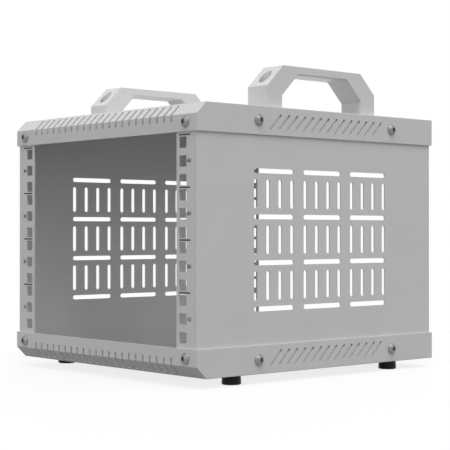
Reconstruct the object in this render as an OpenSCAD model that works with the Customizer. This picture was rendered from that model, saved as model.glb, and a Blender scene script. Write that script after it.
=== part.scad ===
// Desktop rack cabinet for ten-inch equipment, open at the front and at the rear.
// Two folded side panels carry the rack rails. Two folded covers close the top and the bottom.
// The origin is on the floor under the middle of the covers. The front faces -Y and +Z is up.

/* [Rack] */
// Number of rack units between the covers
rack_units = 4; // [2:1:8]
// Height of one rack unit
unit_h = 44.45; // [44:0.05:46]
// Free height between the rack units and a cover's lip
unit_clear = 2.5; // [1:0.1:8]
// Distance between the left and the right column of holes
hole_span = 236.525; // [220:0.005:245]
// Side of a square hole
square_hole = 9.5; // [7:0.1:10]
// Step between the three holes of a unit
hole_step = 15.875; // [13:0.005:16.5]
// Distance from the middle of the holes to the rail's free edge
rail_margin = 8.5; // [6.5:0.1:12]

/* [Side panels] */
// Width over the side panels
panel_w = 275; // [268:0.5:300]
// Sheet of the side panels
panel_sheet = 1.2; // [0.8:0.1:2]
// Outer radius of a fold
bend_r = 2; // [1.5:0.1:4]
// Width of a slot
slot_w = 4.2; // [3:0.1:6]
// Length of an upright slot
slot_len = 25.4; // [16:0.1:28]
// Step between the upright slots of a group
slot_pitch = 14.5; // [10:0.1:15]
// Upright slots in a group
slots_in_group = 4; // [2:1:4]
// Groups of slots along the depth
slot_groups = 3; // [1:1:4]
// Step between the groups
group_pitch = 60; // [56:0.5:70]
// Step between the rows of upright slots
row_pitch = 40; // [36:0.5:42]
// How far the slots sit in front of the panel's middle
slot_forward = 0.9; // [0:0.1:10]

/* [Covers] */
// Depth over the covers
depth = 300; // [220:1:450]
// Height of a cover
cover_h = 24.9; // [22:0.1:36]
// Bevel along the front edge
bevel = 10.2; // [6:0.1:11]
// Sheet of the covers
cover_sheet = 1.5; // [1:0.1:2]
// Radius of the outer edges of a cover
corner_r = 0.6; // [0.3:0.1:1.5]
// Gap between a panel's corner and the bevel above it
corner_gap = 0.6; // [0.2:0.1:2]

/* [Cover slits] */
// Width of a slit
slit_w = 2.5; // [0.8:0.1:3]
// Slits along the front
front_slits = 22; // [10:1:22]
// Step between the front slits
front_slit_pitch = 9.95; // [8:0.05:10]
// Length of a front slit below the bevel
front_slit_drop = 5.7; // [3:0.1:7]
// Plain strip of the bevel beyond a front slit, measured along Z
front_slit_rest = 1.6; // [1:0.1:4]
// Slits along each side
side_slits = 14; // [6:1:15]
// Step between the side slits
side_slit_pitch = 10; // [8:0.1:10.5]
// Length of a side slit
side_slit_len = 18.8; // [10:0.1:20]
// Lean of a side slit from the horizontal
side_slit_lean = 45; // [35:1:60]

/* [Cover screws] */
// Thread of a cover screw
thread_d = 6; // [4:0.5:6]
// Width of a domed head
head_d = 10; // [8.5:0.1:12]
// Height of a domed head
head_h = 3.5; // [2.4:0.1:4]
// Upright rim of a domed head
head_rim = 0.4; // [0.2:0.1:0.8]
// Hexagon key of a domed head, across flats
head_key = 4; // [2.5:0.5:4]
// Depth of the hexagon in a domed head
key_depth = 2; // [1:0.1:2]
// Distance from a lip's free edge to the front and rear screws
screw_edge = 8.2; // [7:0.1:9]
// Distance between the two screws of a side
side_screw_span = 171; // [162:1:180]
// Width of a panel nut
panel_nut_d = 9; // [8.5:0.1:13]
// Height of a panel nut
panel_nut_h = 4; // [2:0.1:6]

/* [Handles] */
// Distance between the two screws of a handle
handle_span = 118.9; // [100:0.1:150]
// Width of a handle
handle_w = 25.6; // [18:0.1:30]
// Height of a handle
handle_h = 38.4; // [34:0.1:50]
// Thickness of a handle's leg along the depth
handle_leg = 18.7; // [16:0.1:24]
// Thickness of a handle's grip
handle_grip = 7.4; // [5:0.1:9]
// Slanted corner of a handle, measured along each side
handle_corner = 19; // [14:0.1:22]
// Chamfer round the edges of a handle's opening
handle_edge = 1; // [0.2:0.1:2]
// How far the handles sit behind the middle of the covers
handle_back = 4.1; // [0:0.1:10]
// Distance from the cover's side to the handle
handle_inset = 5.9; // [3:0.1:20]
// Screw bore in a handle
bore_d = 11.6; // [11:0.1:14]
// Floor of the screw bore above the cover
bore_floor = 6; // [4:0.1:10]
// Width of a handle screw's head
cap_d = 10; // [9:0.1:10.5]
// Height of a handle screw's head
cap_h = 6; // [4:0.1:8]
// Hexagon key of a handle screw, across flats
cap_key = 5; // [3:0.5:5]
// Depth of the hexagon in a handle screw
cap_key_depth = 3; // [2:0.1:3.5]
// Width of a handle nut, across flats
handle_nut_w = 10; // [8:0.1:11]
// Height of a handle nut
handle_nut_h = 5; // [3:0.1:6]

/* [Feet] */
// Width of a foot on the floor
foot_d = 17.2; // [14:0.1:24]
// Width of a foot under the cover
foot_top_d = 16.2; // [13:0.1:20]
// Height of a foot
foot_h = 8.3; // [7:0.1:15]
// Chamfer round the foot's lower edge
foot_edge = 0.8; // [0.2:0.1:1.5]
// Distance from the cover's side to the middle of a foot
foot_inset = 13.9; // [12.5:0.1:30]
// Distance from the cover's front or rear edge to the middle of a foot
foot_end = 50; // [30:1:80]
// Thread of a foot screw
foot_thread_d = 4; // [3:0.5:5]
// Width of a foot screw's head
foot_head_d = 7.6; // [6.5:0.1:9]
// Height of a foot screw's head
foot_head_h = 2.2; // [1.8:0.1:3]
// Hexagon key of a foot screw, across flats
foot_key = 2.5; // [2:0.5:3]
// Depth of the hexagon in a foot screw
foot_key_depth = 1.3; // [0.8:0.1:1.5]
// Bore for the screw head in a foot
foot_bore_d = 10; // [9.5:0.1:11]
// Rubber between the screw head and the cover
foot_floor = 4; // [3:0.1:4.5]
// Width of a foot nut, across flats
foot_nut_w = 7; // [6.5:0.1:8]
// Height of a foot nut
foot_nut_h = 3.2; // [2:0.1:4]

/* [Fits] */
// Clearance of a screw hole over its thread
hole_clear = 0.6; // [0.3:0.1:1]
// Clearance of a nut over its thread
thread_clear = 0.2; // [0.1:0.05:0.4]
// Thread standing out of a nut
thread_proud = 1.3; // [0.5:0.1:3]
// Rim of a washer beyond its thread
washer_rim = 3; // [1.5:0.1:3.5]
// Thickness of a washer
washer_h = 1.6; // [0.8:0.1:2]

/* [Hidden] */
$fn = 48;

// How far a cutting shape runs past the face it cuts
cut = 1;
// Thickness of the two outlines that a chamfer runs between
thin = 0.01;
// Smallest inside radius of a fold
least_bend = 0.1;

// Overall sizes
panel_d = depth - 2 * cover_sheet;
cover_w = panel_w + 2 * cover_sheet;
opening_h = rack_units * unit_h + 2 * unit_clear;
body_h = opening_h + 2 * cover_h;
panel_h = body_h - 2 * cover_sheet;
mid_z = foot_h + body_h / 2;
top_z = foot_h + body_h;

// Places that several pieces share
hole_x = hole_span / 2;
rail_w = panel_w / 2 - hole_x + rail_margin;
rail_x = (panel_w - rail_w) / 2;
flat_y = bevel / 2;
front_screw_z = opening_h / 2 + screw_edge;
side_screw_z = (opening_h + cover_h) / 2;
side_slit_z = (opening_h + cover_h - cover_sheet) / 2;
handle_x = (cover_w - handle_w) / 2 - handle_inset;
foot_x = cover_w / 2 - foot_inset;
foot_y = depth / 2 - foot_end;

// Lengths of the threads below the heads
cover_screw_len = cover_sheet + panel_sheet + panel_nut_h + thread_proud;
handle_screw_len = bore_floor + cover_sheet + washer_h + handle_nut_h + thread_proud;
foot_screw_len = foot_floor + cover_sheet + washer_h + foot_nut_h + thread_proud;

coat_grey = "#b4b7b7";
handle_grey = "#c6c8c8";
screw_steel = "#d2d3d6";
rubber_black = "#1b1b1c";

// Side view of the body, drawn in from its outside by inset, with the bevel cut deeper by extra
function side_outline(inset, extra) =
    let (
        y = depth / 2 - inset,
        z = body_h / 2 - inset,
        b = bevel - (2 - sqrt(2)) * inset + extra
    )
    [[b - y, -z], [y, -z], [y, z], [b - y, z], [-y, z - b], [-y, b - z]];

// Outline of a bridge with slanted upper corners, standing on base and drawn out by grow
function bridge_outline(half_len, base, height, grow = 0) =
    let (
        y = half_len + grow,
        z = height + grow,
        c = handle_corner + (2 - sqrt(2)) * grow
    )
    [[-y, base], [y, base], [y, z - c], [y - c, z], [c - y, z], [-y, z - c]];

// Solids drawn in side view, front view and plan, centred on the origin
module along_x(width) rotate([90, 0, 90]) linear_extrude(width, center = true) children();
module along_y(length) rotate([90, 0, 0]) linear_extrude(length, center = true) children();
module along_z(height) linear_extrude(height, center = true) children();

module rounded_rectangle(width, height, r) {
    square([width - 2 * r, height], center = true);
    square([width, height - 2 * r], center = true);
    for (x = [-1, 1], y = [-1, 1])
        translate([x * (width / 2 - r), y * (height / 2 - r)])
            circle(r);
}

module slot(len, width) {
    square([len - width, width], center = true);
    for (end = [-1, 1])
        translate([end * (len - width) / 2, 0])
            circle(d = width);
}

// Places of the fasteners, each with +Z pointing out of the face that the head sits on
module at_front_screws(face, level, sides = [-1, 1]) {
    for (side = sides)
        translate([side * rail_x, face * depth / 2, mid_z + level * front_screw_z])
            rotate([-90 * face, 0, 0])
                children();
}

module at_side_screws(side, level) {
    for (end = [-1, 1])
        translate([side * cover_w / 2, flat_y + end * side_screw_span / 2, mid_z + level * side_screw_z])
            rotate([0, 90 * side, 0])
                children();
}

module at_handle_screws(side) {
    for (end = [-1, 1])
        translate([side * handle_x, handle_back + end * handle_span / 2, top_z])
            children();
}

module at_foot(side, end) {
    translate([side * foot_x, end * foot_y, foot_h])
        children();
}

module at_feet() {
    for (side = [-1, 1], end = [-1, 1])
        at_foot(side, end)
            children();
}

// Fasteners

module domed_head(width, height, key, depth_of_key) {
    dome_h = height - head_rim;
    dome_r = (pow(width / 2, 2) + pow(dome_h, 2)) / (2 * dome_h);
    difference() {
        rotate_extrude()
            intersection() {
                square([width / 2, height]);
                translate([0, height - dome_r])
                    circle(dome_r);
            }
        translate([0, 0, height - depth_of_key])
            cylinder(d = key / cos(30), h = depth_of_key + cut, $fn = 6);
    }
}

module domed_screw(thread, len, width, height, key, depth_of_key) {
    domed_head(width, height, key, depth_of_key);
    translate([0, 0, -len])
        cylinder(d = thread, h = len);
}

module cover_screw() {
    domed_screw(thread_d, cover_screw_len, head_d, head_h, head_key, key_depth);
}

module foot_screw() {
    domed_screw(foot_thread_d, foot_screw_len, foot_head_d, foot_head_h, foot_key, foot_key_depth);
}

module cap_screw() {
    difference() {
        cylinder(d = cap_d, h = cap_h);
        translate([0, 0, cap_h - cap_key_depth])
            cylinder(d = cap_key / cos(30), h = cap_key_depth + cut, $fn = 6);
    }
    translate([0, 0, -handle_screw_len])
        cylinder(d = thread_d, h = handle_screw_len);
}

module panel_nut() {
    difference() {
        cylinder(d = panel_nut_d, h = panel_nut_h);
        translate([0, 0, -cut])
            cylinder(d = thread_d + thread_clear, h = panel_nut_h + 2 * cut);
    }
}

module hex_nut(width, height, thread) {
    difference() {
        cylinder(d = width / cos(30), h = height, $fn = 6);
        translate([0, 0, -cut])
            cylinder(d = thread + thread_clear, h = height + 2 * cut);
    }
}

module washer(thread) {
    difference() {
        cylinder(d = thread + 2 * washer_rim, h = washer_h);
        translate([0, 0, -cut])
            cylinder(d = thread + hole_clear, h = washer_h + 2 * cut);
    }
}

// Covers: folded trays, level 1 at the top and -1 at the bottom

module cover_block() {
    translate([0, 0, mid_z])
        intersection() {
            along_x(cover_w)
                polygon(side_outline(0, 0));
            along_y(depth)
                rounded_rectangle(cover_w, body_h, corner_r);
            along_z(body_h)
                rounded_rectangle(cover_w, depth, corner_r);
        }
}

module cover_space() {
    translate([0, 0, mid_z])
        along_x(panel_w)
            polygon(side_outline(cover_sheet, 0));
}

module cover_range(level) {
    translate([0, 0, mid_z + level * body_h / 2])
        cube([cover_w + 2 * cut, depth + 2 * cut, 2 * cover_h], center = true);
}

// One slit runs up the front lip, over the fold and along the bevel
module front_slit_section() {
    front = -depth / 2;
    fold_z = body_h / 2 - bevel;
    low_z = fold_z - front_slit_drop;
    end_y = front + bevel - front_slit_rest;
    end_z = body_h / 2 - front_slit_rest;
    reach = 2 * cover_sheet;
    polygon([
        [front - cut, low_z],
        [front + reach, low_z],
        [end_y + reach, end_z - reach],
        [end_y - cut, end_z + cut],
        [front - cut, fold_z + cut]
    ]);
}

module front_slit_cuts(level) {
    first = -(front_slits - 1) / 2;
    translate([0, 0, mid_z])
        mirror([0, 0, level > 0 ? 0 : 1])
            for (i = [0:front_slits - 1])
                translate([(first + i) * front_slit_pitch, 0, 0])
                    along_x(slit_w)
                        front_slit_section();
}

module side_slit_cuts(level) {
    first = -(side_slits - 1) / 2;
    for (i = [0:side_slits - 1])
        translate([0, flat_y + (first + i) * side_slit_pitch, mid_z + level * side_slit_z])
            along_x(cover_w + 2 * cut)
                rotate(side_slit_lean)
                    slot(side_slit_len, slit_w);
}

module screw_hole(len, thread) {
    translate([0, 0, -len])
        cylinder(d = thread + hole_clear, h = len + cut);
}

module cover_screw_holes(level) {
    through = cover_sheet + cut;
    for (face = [-1, 1]) {
        at_front_screws(face, level)
            screw_hole(through, thread_d);
        at_side_screws(face, level)
            screw_hole(through, thread_d);
    }
}

module cover(level) {
    difference() {
        intersection() {
            cover_block();
            cover_range(level);
        }
        cover_space();
        front_slit_cuts(level);
        side_slit_cuts(level);
        cover_screw_holes(level);
    }
}

module top_cover() {
    color(coat_grey)
        difference() {
            cover(1);
            for (side = [-1, 1])
                at_handle_screws(side)
                    screw_hole(cover_sheet + cut, thread_d);
        }
}

module bottom_cover() {
    color(coat_grey)
        difference() {
            cover(-1);
            at_feet()
                translate([0, 0, cover_sheet])
                    screw_hole(cover_sheet + cut, foot_thread_d);
        }
}

// Side panels: one folded sheet each, side 1 on the right and -1 on the left

module panel_plan() {
    inner_r = max(bend_r - panel_sheet, least_bend);
    difference() {
        rounded_rectangle(panel_w, panel_d, bend_r);
        rounded_rectangle(panel_w - 2 * panel_sheet, panel_d - 2 * panel_sheet, inner_r);
        translate([-rail_w, 0])
            square([panel_w, panel_d + 2 * cut], center = true);
    }
}

module panel_blank() {
    translate([0, 0, mid_z])
        intersection() {
            along_z(panel_h)
                panel_plan();
            along_x(panel_w + 2 * cut)
                polygon(side_outline(cover_sheet, corner_gap));
        }
}

module rack_hole_cuts() {
    first_z = mid_z - rack_units * unit_h / 2;
    for (unit = [0:rack_units - 1], hole = [-1:1])
        translate([hole_x, 0, first_z + (unit + 0.5) * unit_h + hole * hole_step])
            cube([square_hole, panel_d + 2 * cut, square_hole], center = true);
}

// Groups of upright slots in rows, with a level slot above and below each row
module slot_pattern() {
    rows = rack_units - 1;
    level_len = (slots_in_group - 1) * slot_pitch + slot_w;
    for (group = [0:slot_groups - 1])
        translate([(group - (slot_groups - 1) / 2) * group_pitch - slot_forward, 0]) {
            for (level = [0:rows])
                translate([0, (level - rows / 2) * row_pitch])
                    slot(level_len, slot_w);
            for (row = [0:rows - 1], i = [0:slots_in_group - 1])
                translate([(i - (slots_in_group - 1) / 2) * slot_pitch, (row - (rows - 1) / 2) * row_pitch])
                    rotate(90)
                        slot(slot_len, slot_w);
        }
}

module panel_slot_cuts() {
    translate([panel_w / 2, 0, mid_z])
        along_x(2 * panel_sheet + 2 * cut)
            slot_pattern();
}

module panel_screw_holes() {
    through = cover_sheet + panel_sheet + cut;
    for (level = [-1, 1]) {
        at_side_screws(1, level)
            screw_hole(through, thread_d);
        for (face = [-1, 1])
            at_front_screws(face, level, [1])
                screw_hole(through, thread_d);
    }
}

module side_panel(side) {
    mirror([side > 0 ? 0 : 1, 0, 0])
        difference() {
            panel_blank();
            rack_hole_cuts();
            panel_slot_cuts();
            panel_screw_holes();
        }
}

module left_side_panel() {
    color(coat_grey)
        side_panel(-1);
}

module right_side_panel() {
    color(coat_grey)
        side_panel(1);
}

// Nuts fixed to the inside of a panel behind the cover screws, and coated with it
module panel_nuts(side) {
    behind = cover_sheet + panel_sheet + panel_nut_h;
    for (level = [-1, 1]) {
        at_side_screws(side, level)
            translate([0, 0, -behind])
                panel_nut();
        for (face = [-1, 1])
            at_front_screws(face, level, [side])
                translate([0, 0, -behind])
                    panel_nut();
    }
}

module left_panel_nuts() {
    color(coat_grey)
        panel_nuts(-1);
}

module right_panel_nuts() {
    color(coat_grey)
        panel_nuts(1);
}

// Cover screws

module top_cover_front_screws() {
    color(screw_steel)
        at_front_screws(-1, 1)
            cover_screw();
}

module top_cover_rear_screws() {
    color(screw_steel)
        at_front_screws(1, 1)
            cover_screw();
}

module top_cover_side_screws() {
    color(screw_steel)
        for (side = [-1, 1])
            at_side_screws(side, 1)
                cover_screw();
}

module bottom_cover_front_screws() {
    color(screw_steel)
        at_front_screws(-1, -1)
            cover_screw();
}

module bottom_cover_rear_screws() {
    color(screw_steel)
        at_front_screws(1, -1)
            cover_screw();
}

module bottom_cover_side_screws() {
    color(screw_steel)
        for (side = [-1, 1])
            at_side_screws(side, -1)
                cover_screw();
}

// Handles: bridges with slanted corners, screwed down through a bore in each leg

// Opening of a handle, drawn out by grow
module handle_opening(width, grow) {
    along_x(width)
        polygon(bridge_outline((handle_span - handle_leg) / 2, -cut, handle_h - handle_grip, grow));
}

module handle_block() {
    difference() {
        along_x(handle_w)
            polygon(bridge_outline((handle_span + handle_leg) / 2, 0, handle_h));
        handle_opening(handle_w + 2 * cut, 0);
        for (face = [-1, 1])
            hull() {
                translate([face * (handle_w / 2 + cut), 0, 0])
                    handle_opening(thin, handle_edge + cut);
                translate([face * (handle_w / 2 - handle_edge), 0, 0])
                    handle_opening(thin, 0);
            }
    }
}

module handle(side) {
    difference() {
        translate([side * handle_x, handle_back, top_z])
            handle_block();
        at_handle_screws(side) {
            translate([0, 0, bore_floor])
                cylinder(d = bore_d, h = handle_h);
            translate([0, 0, -cut])
                cylinder(d = thread_d + hole_clear, h = handle_h);
        }
    }
}

module left_handle() {
    color(handle_grey)
        handle(-1);
}

module right_handle() {
    color(handle_grey)
        handle(1);
}

module handle_screws(side) {
    color(screw_steel)
        at_handle_screws(side)
            translate([0, 0, bore_floor])
                cap_screw();
}

module left_handle_screws() {
    handle_screws(-1);
}

module right_handle_screws() {
    handle_screws(1);
}

module handle_washers(side) {
    color(screw_steel)
        at_handle_screws(side)
            translate([0, 0, -cover_sheet - washer_h])
                washer(thread_d);
}

module left_handle_washers() {
    handle_washers(-1);
}

module right_handle_washers() {
    handle_washers(1);
}

module handle_nuts(side) {
    color(screw_steel)
        at_handle_screws(side)
            translate([0, 0, -cover_sheet - washer_h - handle_nut_h])
                hex_nut(handle_nut_w, handle_nut_h, thread_d);
}

module left_handle_nuts() {
    handle_nuts(-1);
}

module right_handle_nuts() {
    handle_nuts(1);
}

// Feet: tapered rubber, screwed up into the bottom cover

module foot() {
    color(rubber_black)
        translate([0, 0, -foot_h])
            rotate_extrude()
                difference() {
                    polygon([
                        [0, 0],
                        [foot_d / 2 - foot_edge, 0],
                        [foot_d / 2, foot_edge],
                        [foot_top_d / 2, foot_h],
                        [0, foot_h]
                    ]);
                    translate([0, -cut])
                        square([foot_bore_d / 2, foot_h - foot_floor + cut]);
                    square([(foot_thread_d + hole_clear) / 2, foot_h + cut]);
                }
}

module front_left_foot() {
    at_foot(-1, -1)
        foot();
}

module front_right_foot() {
    at_foot(1, -1)
        foot();
}

module rear_left_foot() {
    at_foot(-1, 1)
        foot();
}

module rear_right_foot() {
    at_foot(1, 1)
        foot();
}

module foot_screws() {
    color(screw_steel)
        at_feet()
            translate([0, 0, -foot_floor])
                rotate([180, 0, 0])
                    foot_screw();
}

module foot_washers() {
    color(screw_steel)
        at_feet()
            translate([0, 0, cover_sheet])
                washer(foot_thread_d);
}

module foot_nuts() {
    color(screw_steel)
        at_feet()
            translate([0, 0, cover_sheet + washer_h])
                hex_nut(foot_nut_w, foot_nut_h, foot_thread_d);
}

bottom_cover();
top_cover();
left_side_panel();
right_side_panel();
left_panel_nuts();
right_panel_nuts();
top_cover_front_screws();
top_cover_rear_screws();
top_cover_side_screws();
bottom_cover_front_screws();
bottom_cover_rear_screws();
bottom_cover_side_screws();
left_handle();
right_handle();
left_handle_screws();
right_handle_screws();
left_handle_washers();
right_handle_washers();
left_handle_nuts();
right_handle_nuts();
front_left_foot();
front_right_foot();
rear_left_foot();
rear_right_foot();
foot_screws();
foot_washers();
foot_nuts();
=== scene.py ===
"""Looks of a ten-inch desktop rack cabinet: its finishes, its printed unit scale and a studio."""

import math

import bpy
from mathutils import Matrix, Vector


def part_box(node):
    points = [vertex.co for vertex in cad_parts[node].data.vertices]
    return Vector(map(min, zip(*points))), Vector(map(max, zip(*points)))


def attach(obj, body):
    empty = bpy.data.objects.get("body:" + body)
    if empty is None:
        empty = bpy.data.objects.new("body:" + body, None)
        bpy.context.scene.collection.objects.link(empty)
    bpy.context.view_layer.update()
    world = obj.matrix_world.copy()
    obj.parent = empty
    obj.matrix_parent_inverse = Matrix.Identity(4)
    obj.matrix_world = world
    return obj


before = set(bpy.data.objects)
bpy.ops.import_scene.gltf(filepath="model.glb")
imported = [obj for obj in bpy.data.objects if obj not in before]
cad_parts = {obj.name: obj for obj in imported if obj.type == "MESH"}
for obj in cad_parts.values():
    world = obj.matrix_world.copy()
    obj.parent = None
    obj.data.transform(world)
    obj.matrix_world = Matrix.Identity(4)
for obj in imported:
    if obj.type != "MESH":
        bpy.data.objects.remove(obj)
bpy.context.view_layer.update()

bl_info = {
    "name": "Desktop rack cabinet looks",
    "version": (1, 0, 0),
    "blender": (4, 5, 0),
    "location": "View3D > Sidebar > Rack",
    "description": "Finishes, printed unit scale and studio for a desktop rack cabinet",
    "category": "Object",
}

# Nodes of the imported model, by their finish
SHEET_NODES = ("top_cover", "bottom_cover", "left_side_panel", "right_side_panel")
PANEL_NUT_NODES = ("left_panel_nuts", "right_panel_nuts")
HANDLE_NODES = ("left_handle", "right_handle")
FOOT_NODES = ("front_left_foot", "front_right_foot", "rear_left_foot", "rear_right_foot")
FASTENER_WORDS = ("screws", "nuts", "washers")
FASTENER_NODES = tuple(
    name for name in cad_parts
    if name.endswith(FASTENER_WORDS) and name not in PANEL_NUT_NODES
)

# The rack units, counted from below, and the face of the front rails, which takes the print
UNIT_HEIGHT = 0.04445
UNIT_COUNT = 4
UNITS = range(1, UNIT_COUNT + 1)
PANEL_LOW, PANEL_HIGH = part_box("left_side_panel")
UNITS_BOTTOM = (PANEL_LOW.z + PANEL_HIGH.z - UNIT_COUNT * UNIT_HEIGHT) / 2
RAIL_FACE = PANEL_LOW.y

# Each place that is printed: its side of the rack, that side's name and its unit
SIDES = ((-1, "left"), (1, "right"))
PRINTED_PLACES = [(side, word, unit) for side, word in SIDES for unit in UNITS]

# Shape of the print: a digit's share of its text size, the share of a line's height that its
# rounded corners take, the steps of a round stretch, and how close points are merged, in metres
DIGIT_SHARE = 0.7
LINE_CORNER_SHARE = 0.3
CURVE_STEPS = 3
MERGE_DISTANCE = 0.000001

# Values between which most of a noise lies
NOISE_LOW = 0.3
NOISE_HIGH = 0.7

# Sockets of a Mix node that mixes colours, by number because several share a name
MIX_SHARE = 0
MIX_FIRST = 6
MIX_SECOND = 7
MIX_RESULT = 2

# Each lamp: its name, the setting that holds its light, the place from which it shines at the
# origin, in metres, and its width in degrees
LAMPS = (
    ("key_lamp", "key_light", (0.5, -0.5, 1.87), 25),
    ("front_lamp", "front_light", (0.0, -1.8, 0.87), 40),
    ("side_lamp", "side_light", (1.0, 0.0, 1.73), 30),
    ("rear_lamp", "rear_light", (-1.3, 1.3, 0.6), 40),
    ("inner_lamp", "inner_light", (1.3, 1.3, 0.87), 40),
)

# Colour of the sky's light and of the background as seen
WHITE = (1, 1, 1, 1)

# Width of the camera's frame, in millimetres
FRAME_WIDTH = 36


class RackFinishSettings(bpy.types.PropertyGroup):
    """Colours and grain of the finishes."""

    coat_colour: bpy.props.FloatVectorProperty(
        name="Coat colour", description="Powder coat of the covers and side panels",
        subtype="COLOR", size=3, min=0, max=1, default=(0.62, 0.62, 0.62))
    handle_colour: bpy.props.FloatVectorProperty(
        name="Handle colour", description="Moulded plastic of the handles",
        subtype="COLOR", size=3, min=0, max=1, default=(0.65, 0.65, 0.65))
    steel_colour: bpy.props.FloatVectorProperty(
        name="Steel colour", description="Zinc plate of the screws, nuts and washers",
        subtype="COLOR", size=3, min=0, max=1, default=(0.25, 0.25, 0.25))
    rubber_colour: bpy.props.FloatVectorProperty(
        name="Rubber colour", description="Moulded rubber of the feet",
        subtype="COLOR", size=3, min=0, max=1, default=(0.012, 0.012, 0.012))
    ink_colour: bpy.props.FloatVectorProperty(
        name="Ink colour", description="Printed unit lines and numbers",
        subtype="COLOR", size=3, min=0, max=1, default=(0.01, 0.01, 0.01))
    coat_grain: bpy.props.FloatProperty(
        name="Coat grain", description="Width of one grain in the powder coat",
        unit="LENGTH", min=0.0002, max=0.005, default=0.0009)
    mould_grain: bpy.props.FloatProperty(
        name="Mould grain", description="Width of one grain in the moulded handles",
        unit="LENGTH", min=0.0001, max=0.005, default=0.0005)


class RackScaleSettings(bpy.types.PropertyGroup):
    """Sizes of the printed unit lines and numbers."""

    line_inner: bpy.props.FloatProperty(
        name="Line start", description="Distance of a line's inner end from the middle",
        unit="LENGTH", min=0.1, max=0.13, default=0.1135)
    line_outer: bpy.props.FloatProperty(
        name="Line end", description="Distance of a line's outer end from the middle",
        unit="LENGTH", min=0.1, max=0.135, default=0.12805)
    line_height: bpy.props.FloatProperty(
        name="Line height", description="Thickness of a printed line on the rail",
        unit="LENGTH", min=0.0002, max=0.003, default=0.0013)
    number_place: bpy.props.FloatProperty(
        name="Number place", description="Distance of a number's middle from the rack's middle",
        unit="LENGTH", min=0.1, max=0.135, default=0.1265)
    number_height: bpy.props.FloatProperty(
        name="Number height", description="Height of a printed unit number",
        unit="LENGTH", min=0.001, max=0.008, default=0.003)
    number_weight: bpy.props.FloatProperty(
        name="Number weight", description="How much a printed number's strokes are widened",
        unit="LENGTH", min=0, max=0.0005, default=0.0002)
    ink_depth: bpy.props.FloatProperty(
        name="Ink depth", description="How far the print stands proud of the rail",
        unit="LENGTH", min=0.00001, max=0.0005, default=0.00005)


class RackStudioSettings(bpy.types.PropertyGroup):
    """Camera, light and floor."""

    camera_place: bpy.props.FloatVectorProperty(
        name="Camera place", description="Where the camera stands",
        subtype="XYZ", unit="LENGTH", size=3, default=(0.97903, -0.85317, 0.13155))
    camera_turn: bpy.props.FloatProperty(
        name="Camera turn", description="Turn of the camera about the vertical",
        subtype="ANGLE", unit="ROTATION", default=math.radians(48.864))
    camera_tilt: bpy.props.FloatProperty(
        name="Camera tilt", description="Tilt of the camera above the level",
        subtype="ANGLE", unit="ROTATION", default=math.radians(0.296))
    lens: bpy.props.FloatProperty(
        name="Lens", description="Focal length for a frame 36 mm wide, in millimetres",
        unit="CAMERA", min=20, max=300, default=105.49)
    sky_light: bpy.props.FloatProperty(
        name="Sky light", description="Soft light from all round",
        min=0, max=3, default=0.528)
    key_light: bpy.props.FloatProperty(
        name="Key light", description="Light of the overhead lamp on a face turned to it",
        min=0, max=3, default=0.3)
    front_light: bpy.props.FloatProperty(
        name="Front light", description="Light of the lamp in front on a face turned to it",
        min=0, max=3, default=0.126)
    side_light: bpy.props.FloatProperty(
        name="Side light", description="Light of the lamp on the right on a face turned to it",
        min=0, max=3, default=0.252)
    rear_light: bpy.props.FloatProperty(
        name="Rear light", description="Light of the lamp at the left rear on a face turned to it",
        min=0, max=3, default=0.56)
    inner_light: bpy.props.FloatProperty(
        name="Inner light", description="Light of the lamp that shines in through the open rear",
        min=0, max=3, default=0.095)
    floor_size: bpy.props.FloatProperty(
        name="Floor size", description="Width of the floor",
        unit="LENGTH", min=1, max=60, default=24.0)
    floor_tone: bpy.props.FloatProperty(
        name="Floor tone", description="Grey of the floor in the light that it sends back",
        subtype="FACTOR", min=0, max=1, default=0.18)
    shadow_tone: bpy.props.FloatProperty(
        name="Shadow tone", description="Grey of the part of the floor that takes the shadow",
        subtype="FACTOR", min=0, max=1, default=0.84)
    shadow_share: bpy.props.FloatProperty(
        name="Shadow share", description="How much of that grey shows near the cabinet",
        subtype="FACTOR", min=0, max=1, default=0.18)
    shadow_near: bpy.props.FloatProperty(
        name="Shadow fade start", description="Distance from the middle where the grey starts to fade",
        unit="LENGTH", min=0, max=3, default=0.25)
    shadow_far: bpy.props.FloatProperty(
        name="Shadow fade end", description="Distance from the middle where only white is left",
        unit="LENGTH", min=0, max=3, default=0.6)


def empty_tree(holder):
    """The node tree of a new material or world, with nothing in it."""
    holder.use_nodes = True
    holder.node_tree.nodes.clear()
    return holder.node_tree


def start_material(name):
    """A new material with one Principled shader, and its node tree."""
    material = bpy.data.materials.new(name)
    tree = empty_tree(material)
    shader = tree.nodes.new("ShaderNodeBsdfPrincipled")
    output = tree.nodes.new("ShaderNodeOutputMaterial")
    tree.links.new(shader.outputs["BSDF"], output.inputs["Surface"])
    return material, tree, shader


def grain(tree, width, detail=3.0, stretch=(1, 1, 1)):
    """A noise whose grains are about that wide, in metres, fixed to the object."""
    place = tree.nodes.new("ShaderNodeTexCoord")
    mapping = tree.nodes.new("ShaderNodeMapping")
    mapping.inputs["Scale"].default_value = stretch
    noise = tree.nodes.new("ShaderNodeTexNoise")
    noise.inputs["Scale"].default_value = 1 / width
    noise.inputs["Detail"].default_value = detail
    tree.links.new(place.outputs["Object"], mapping.inputs["Vector"])
    tree.links.new(mapping.outputs["Vector"], noise.inputs["Vector"])
    return noise.outputs["Fac"]


def spread(tree, value, low, high, start=NOISE_LOW, end=NOISE_HIGH):
    """A value that is low where the given one is at start and high where it is at end."""
    ranged = tree.nodes.new("ShaderNodeMapRange")
    ranged.inputs["From Min"].default_value = start
    ranged.inputs["From Max"].default_value = end
    ranged.inputs["To Min"].default_value = low
    ranged.inputs["To Max"].default_value = high
    tree.links.new(value, ranged.inputs["Value"])
    return ranged.outputs["Result"]


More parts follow.
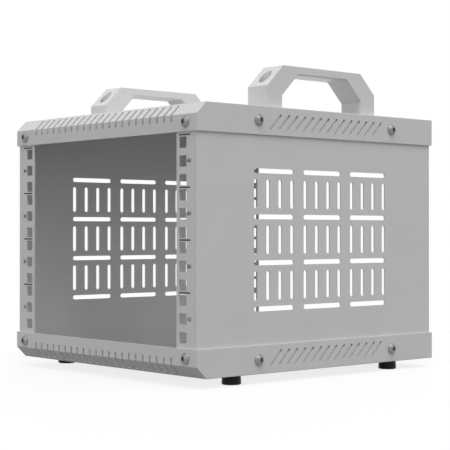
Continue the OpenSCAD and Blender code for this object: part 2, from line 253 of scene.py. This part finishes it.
def tint(tree, shader, noise, colour, amount):
    """Makes the surface that colour, lighter and darker with the noise by amount."""
    mix = tree.nodes.new("ShaderNodeMix")
    mix.data_type = "RGBA"
    mix.inputs[MIX_FIRST].default_value = (*[part * (1 - amount) for part in colour], 1)
    mix.inputs[MIX_SECOND].default_value = (*[part * (1 + amount) for part in colour], 1)
    tree.links.new(spread(tree, noise, low=0, high=1), mix.inputs[MIX_SHARE])
    tree.links.new(mix.outputs[MIX_RESULT], shader.inputs["Base Color"])


def dull(tree, shader, noise, low, high):
    """Takes the surface's roughness from low to high with the noise."""
    tree.links.new(spread(tree, noise, low, high), shader.inputs["Roughness"])


def roughen(tree, shader, noise, height, strength):
    """Raises bumps of that height, in metres, with the noise."""
    bump = tree.nodes.new("ShaderNodeBump")
    bump.inputs["Strength"].default_value = strength
    bump.inputs["Distance"].default_value = height
    tree.links.new(noise, bump.inputs["Height"])
    tree.links.new(bump.outputs["Normal"], shader.inputs["Normal"])


def powder_coat(finish):
    """Light grey powder coat: a fine orange peel, faint clouds of tone and an uneven satin."""
    material, tree, shader = start_material("powder_coat")
    clouds = grain(tree, width=0.035, detail=2.0)
    peel = grain(tree, width=finish.coat_grain)
    tint(tree, shader, clouds, finish.coat_colour, amount=0.015)
    dull(tree, shader, peel, low=0.48, high=0.6)
    shader.inputs["Specular IOR Level"].default_value = 0.35
    roughen(tree, shader, peel, height=0.00006, strength=0.5)
    return material


def moulded_plastic(finish):
    """Light grey moulded plastic with a spark-eroded grain."""
    material, tree, shader = start_material("moulded_plastic")
    clouds = grain(tree, width=0.02, detail=2.0)
    texture = grain(tree, width=finish.mould_grain, detail=2.0)
    tint(tree, shader, clouds, finish.handle_colour, amount=0.012)
    dull(tree, shader, texture, low=0.32, high=0.44)
    shader.inputs["Specular IOR Level"].default_value = 0.4
    roughen(tree, shader, texture, height=0.00003, strength=0.5)
    return material


def zinc_plate(finish):
    """Mid-grey zinc plate with fine scratches and a slightly cloudy satin."""
    material, tree, shader = start_material("zinc_plate")
    clouds = grain(tree, width=0.002, detail=2.0)
    scratches = grain(tree, width=0.0003, detail=4.0, stretch=(1, 0.15, 1))
    tint(tree, shader, clouds, finish.steel_colour, amount=0.06)
    dull(tree, shader, scratches, low=0.46, high=0.6)
    shader.inputs["Metallic"].default_value = 1.0
    roughen(tree, shader, scratches, height=0.00001, strength=0.4)
    return material


def black_rubber(finish):
    """Black moulded rubber with a low shine."""
    material, tree, shader = start_material("black_rubber")
    clouds = grain(tree, width=0.004)
    skin = grain(tree, width=0.0006)
    tint(tree, shader, clouds, finish.rubber_colour, amount=0.3)
    dull(tree, shader, skin, low=0.24, high=0.36)
    shader.inputs["Specular IOR Level"].default_value = 0.15
    roughen(tree, shader, skin, height=0.00003, strength=0.5)
    return material


def printed_ink(finish):
    """Black screen print, a little thin in places."""
    material, tree, shader = start_material("printed_ink")
    thin = grain(tree, width=0.0004)
    tint(tree, shader, thin, finish.ink_colour, amount=0.4)
    dull(tree, shader, thin, low=0.45, high=0.6)
    return material


def dress(nodes, material):
    """Gives CAD nodes one finish."""
    for name in nodes:
        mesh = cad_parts[name].data
        mesh.materials.clear()
        mesh.materials.append(material)


def start_piece():
    """Leaves nothing selected, so that an operator acts on the new piece alone."""
    bpy.ops.object.select_all(action="DESELECT")


def raise_print(depth):
    """Thickens flat print towards the front in edit mode, closed all round, and leaves edit mode."""
    bpy.ops.mesh.select_all(action="SELECT")
    bpy.ops.mesh.extrude_region_move(TRANSFORM_OT_translate={"value": (0, -depth, 0)})
    bpy.ops.mesh.select_all(action="SELECT")
    bpy.ops.mesh.normals_make_consistent(inside=False)
    bpy.ops.object.mode_set(mode="OBJECT")


def copy_piece(pattern):
    """A copy of the pattern with its own mesh, selected alone."""
    start_piece()
    pattern.select_set(True)
    bpy.context.view_layer.objects.active = pattern
    bpy.ops.object.duplicate()
    return bpy.context.object


def keep_piece(piece, name, material):
    """Names a finished piece, puts its place into its mesh and hangs it on the cabinet."""
    piece.name = name
    piece.data.name = name
    bpy.ops.object.transform_apply(location=True, rotation=True, scale=True)
    piece.data.materials.clear()
    piece.data.materials.append(material)
    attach(piece, "root")


class RACK_OT_coat_sheets(bpy.types.Operator):
    """Powder coat on the covers, the side panels and the nuts fixed to them"""

    bl_idname = "rack.coat_sheets"
    bl_label = "Coat the sheets"

    def execute(self, context):
        dress(SHEET_NODES + PANEL_NUT_NODES, powder_coat(context.scene.rack_finish))
        return {"FINISHED"}


class RACK_OT_finish_handles(bpy.types.Operator):
    """Moulded plastic on the handles"""

    bl_idname = "rack.finish_handles"
    bl_label = "Finish the handles"

    def execute(self, context):
        dress(HANDLE_NODES, moulded_plastic(context.scene.rack_finish))
        return {"FINISHED"}


class RACK_OT_plate_fasteners(bpy.types.Operator):
    """Zinc plate on the screws, washers and loose nuts"""

    bl_idname = "rack.plate_fasteners"
    bl_label = "Plate the fasteners"

    def execute(self, context):
        dress(FASTENER_NODES, zinc_plate(context.scene.rack_finish))
        return {"FINISHED"}


class RACK_OT_finish_feet(bpy.types.Operator):
    """Black rubber on the feet"""

    bl_idname = "rack.finish_feet"
    bl_label = "Finish the feet"

    def execute(self, context):
        dress(FOOT_NODES, black_rubber(context.scene.rack_finish))
        return {"FINISHED"}


class RACK_OT_print_lines(bpy.types.Operator):
    """Printed line on both front rails at the top of each unit"""

    bl_idname = "rack.print_lines"
    bl_label = "Print the unit lines"

    def execute(self, context):
        scale = context.scene.rack_scale
        ink = printed_ink(context.scene.rack_finish)
        middle = (scale.line_inner + scale.line_outer) / 2
        pattern = self.model_line(scale)
        for side, word, unit in PRINTED_PLACES:
            line = copy_piece(pattern)
            line.location = (side * middle, RAIL_FACE, UNITS_BOTTOM + unit * UNIT_HEIGHT)
            keep_piece(line, f"{word}_unit_line_{unit}", ink)
        bpy.data.objects.remove(pattern)
        return {"FINISHED"}

    def model_line(self, scale):
        """One line with rounded corners, upright at the origin."""
        start_piece()
        bpy.ops.mesh.primitive_plane_add(size=1, rotation=(math.pi / 2, 0, 0))
        line = bpy.context.object
        line.scale = (scale.line_outer - scale.line_inner, scale.line_height, 1)
        bpy.ops.object.transform_apply(location=False, rotation=False, scale=True)
        bpy.ops.object.mode_set(mode="EDIT")
        bpy.ops.mesh.select_all(action="SELECT")
        bpy.ops.mesh.bevel(
            offset=scale.line_height * LINE_CORNER_SHARE,
            segments=CURVE_STEPS,
            affect="VERTICES",
        )
        raise_print(scale.ink_depth)
        return line


class RACK_OT_print_numbers(bpy.types.Operator):
    """Printed unit number beside the middle hole of each unit"""

    bl_idname = "rack.print_numbers"
    bl_label = "Print the unit numbers"

    def execute(self, context):
        scale = context.scene.rack_scale
        ink = bpy.data.materials["printed_ink"]
        patterns = {unit: self.model_number(scale, unit) for unit in UNITS}
        for side, word, unit in PRINTED_PLACES:
            number = copy_piece(patterns[unit])
            height = UNITS_BOTTOM + (unit - 0.5) * UNIT_HEIGHT
            number.location = (side * scale.number_place, RAIL_FACE, height)
            keep_piece(number, f"{word}_unit_number_{unit}", ink)
        for pattern in patterns.values():
            bpy.data.objects.remove(pattern)
        return {"FINISHED"}

    def model_number(self, scale, unit):
        """One unit's number, upright at the origin."""
        start_piece()
        bpy.ops.object.text_add(rotation=(math.pi / 2, 0, 0))
        text = bpy.context.object.data
        text.body = f"{unit}U"
        text.align_x = "CENTER"
        text.align_y = "CENTER"
        text.size = scale.number_height / DIGIT_SHARE
        text.offset = scale.number_weight
        text.resolution_u = CURVE_STEPS
        bpy.ops.object.convert(target="MESH")
        bpy.ops.object.mode_set(mode="EDIT")
        bpy.ops.mesh.select_all(action="SELECT")
        bpy.ops.mesh.remove_doubles(threshold=MERGE_DISTANCE)
        bpy.ops.mesh.beautify_fill(angle_limit=math.pi)
        raise_print(scale.ink_depth)
        return bpy.context.object


def background_ray(tree):
    """1 on rays that see the plain background: the camera's, and those that metal or glass sends on."""
    path = tree.nodes.new("ShaderNodeLightPath")
    total = path.outputs["Is Camera Ray"]
    for kind in ("Is Glossy Ray", "Is Transmission Ray"):
        add = tree.nodes.new("ShaderNodeMath")
        add.operation = "ADD"
        add.use_clamp = True
        tree.links.new(total, add.inputs[0])
        tree.links.new(path.outputs[kind], add.inputs[1])
        total = add.outputs[0]
    return total


def mix_shaders(tree, share, first, second):
    """The first shader where share is 0, the second where it is 1."""
    mix = tree.nodes.new("ShaderNodeMixShader")
    tree.links.new(share, mix.inputs["Fac"])
    tree.links.new(first, mix.inputs[1])
    tree.links.new(second, mix.inputs[2])
    return mix.outputs["Shader"]


def matt_grey(tree, tone):
    """A matt shader of that grey."""
    shader = tree.nodes.new("ShaderNodeBsdfDiffuse")
    shader.inputs["Color"].default_value = (tone, tone, tone, 1)
    return shader.outputs["BSDF"]


def distance_from_middle(tree):
    """How far a point of the floor lies from the middle, in metres."""
    place = tree.nodes.new("ShaderNodeTexCoord")
    distance = tree.nodes.new("ShaderNodeVectorMath")
    distance.operation = "LENGTH"
    tree.links.new(place.outputs["Object"], distance.inputs[0])
    return distance.outputs["Value"]


def pale_floor(studio):
    """White as seen, with the cabinet's soft shadow close by, and grey in the light it sends back."""
    material = bpy.data.materials.new("pale_floor")
    tree = empty_tree(material)
    shadow = spread(
        tree,
        distance_from_middle(tree),
        low=studio.shadow_share,
        high=0,
        start=studio.shadow_near,
        end=studio.shadow_far,
    )
    white = tree.nodes.new("ShaderNodeEmission").outputs["Emission"]
    seen = mix_shaders(tree, shadow, white, matt_grey(tree, studio.shadow_tone))
    surface = mix_shaders(tree, background_ray(tree), matt_grey(tree, studio.floor_tone), seen)
    output = tree.nodes.new("ShaderNodeOutputMaterial")
    tree.links.new(surface, output.inputs["Surface"])
    return material


class RACK_OT_set_studio(bpy.types.Operator):
    """Floor, light, white background and camera"""

    bl_idname = "rack.set_studio"
    bl_label = "Set the studio"

    def execute(self, context):
        studio = context.scene.rack_studio
        self.lay_floor(studio)
        self.set_background(context.scene, studio)
        for name, setting, place, width in LAMPS:
            self.hang_lamp(name, getattr(studio, setting), place, width)
        self.aim_camera(context.scene, studio)
        context.scene.view_settings.view_transform = "Standard"
        return {"FINISHED"}

    def lay_floor(self, studio):
        """The floor that the cabinet stands on."""
        start_piece()
        bpy.ops.mesh.primitive_plane_add(size=studio.floor_size)
        floor = bpy.context.object
        floor.name = "floor"
        floor.data.materials.append(pale_floor(studio))

    def set_background(self, scene, studio):
        """White as seen, and a soft light from all round."""
        scene.world = bpy.data.worlds.new("studio")
        tree = empty_tree(scene.world)
        sky = tree.nodes.new("ShaderNodeBackground")
        sky.inputs["Color"].default_value = WHITE
        sky.inputs["Strength"].default_value = studio.sky_light
        white = tree.nodes.new("ShaderNodeBackground")
        white.inputs["Color"].default_value = WHITE
        surface = mix_shaders(
            tree, background_ray(tree), sky.outputs["Background"], white.outputs["Background"])
        output = tree.nodes.new("ShaderNodeOutputWorld")
        tree.links.new(surface, output.inputs["Surface"])

    def hang_lamp(self, name, light, place, width):
        """A wide, even lamp that shines from that place at the origin."""
        start_piece()
        bpy.ops.object.light_add(type="SUN", location=place)
        lamp = bpy.context.object
        lamp.name = name
        lamp.data.energy = light * math.pi
        lamp.data.angle = math.radians(width)
        lamp.rotation_euler = lamp.location.to_track_quat("Z", "Y").to_euler()

    def aim_camera(self, scene, studio):
        """The camera at its place, turned and tilted to the cabinet."""
        start_piece()
        bpy.ops.object.camera_add(
            location=studio.camera_place,
            rotation=(math.pi / 2 + studio.camera_tilt, 0, studio.camera_turn),
        )
        camera = bpy.context.object
        camera.name = "camera"
        camera.data.sensor_width = FRAME_WIDTH
        camera.data.lens = studio.lens
        scene.camera = camera


class RACK_PT_looks(bpy.types.Panel):
    """Settings and steps of the cabinet's looks"""

    bl_label = "Rack cabinet"
    bl_space_type = "VIEW_3D"
    bl_region_type = "UI"
    bl_category = "Rack"

    def draw(self, context):
        for group in ("rack_finish", "rack_scale", "rack_studio"):
            settings = getattr(context.scene, group)
            box = self.layout.box()
            for name in settings.__annotations__:
                box.prop(settings, name)
        for operator in STEPS:
            self.layout.operator(operator.bl_idname)


STEPS = (
    RACK_OT_coat_sheets,
    RACK_OT_finish_handles,
    RACK_OT_plate_fasteners,
    RACK_OT_finish_feet,
    RACK_OT_print_lines,
    RACK_OT_print_numbers,
    RACK_OT_set_studio,
)
SETTINGS = (RackFinishSettings, RackScaleSettings, RackStudioSettings)


def register():
    """Registers the classes and hangs the settings on the scene."""
    for kind in (*SETTINGS, *STEPS, RACK_PT_looks):
        bpy.utils.register_class(kind)
    bpy.types.Scene.rack_finish = bpy.props.PointerProperty(type=RackFinishSettings)
    bpy.types.Scene.rack_scale = bpy.props.PointerProperty(type=RackScaleSettings)
    bpy.types.Scene.rack_studio = bpy.props.PointerProperty(type=RackStudioSettings)


def unregister():
    """Takes away what register has added."""
    del bpy.types.Scene.rack_studio
    del bpy.types.Scene.rack_scale
    del bpy.types.Scene.rack_finish
    for kind in reversed((*SETTINGS, *STEPS, RACK_PT_looks)):
        bpy.utils.unregister_class(kind)


def main():
    """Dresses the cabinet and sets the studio."""
    register()
    bpy.ops.rack.coat_sheets()
    bpy.ops.rack.finish_handles()
    bpy.ops.rack.plate_fasteners()
    bpy.ops.rack.finish_feet()
    bpy.ops.rack.print_lines()
    bpy.ops.rack.print_numbers()
    bpy.ops.rack.set_studio()


if __name__ == "__main__":
    main()
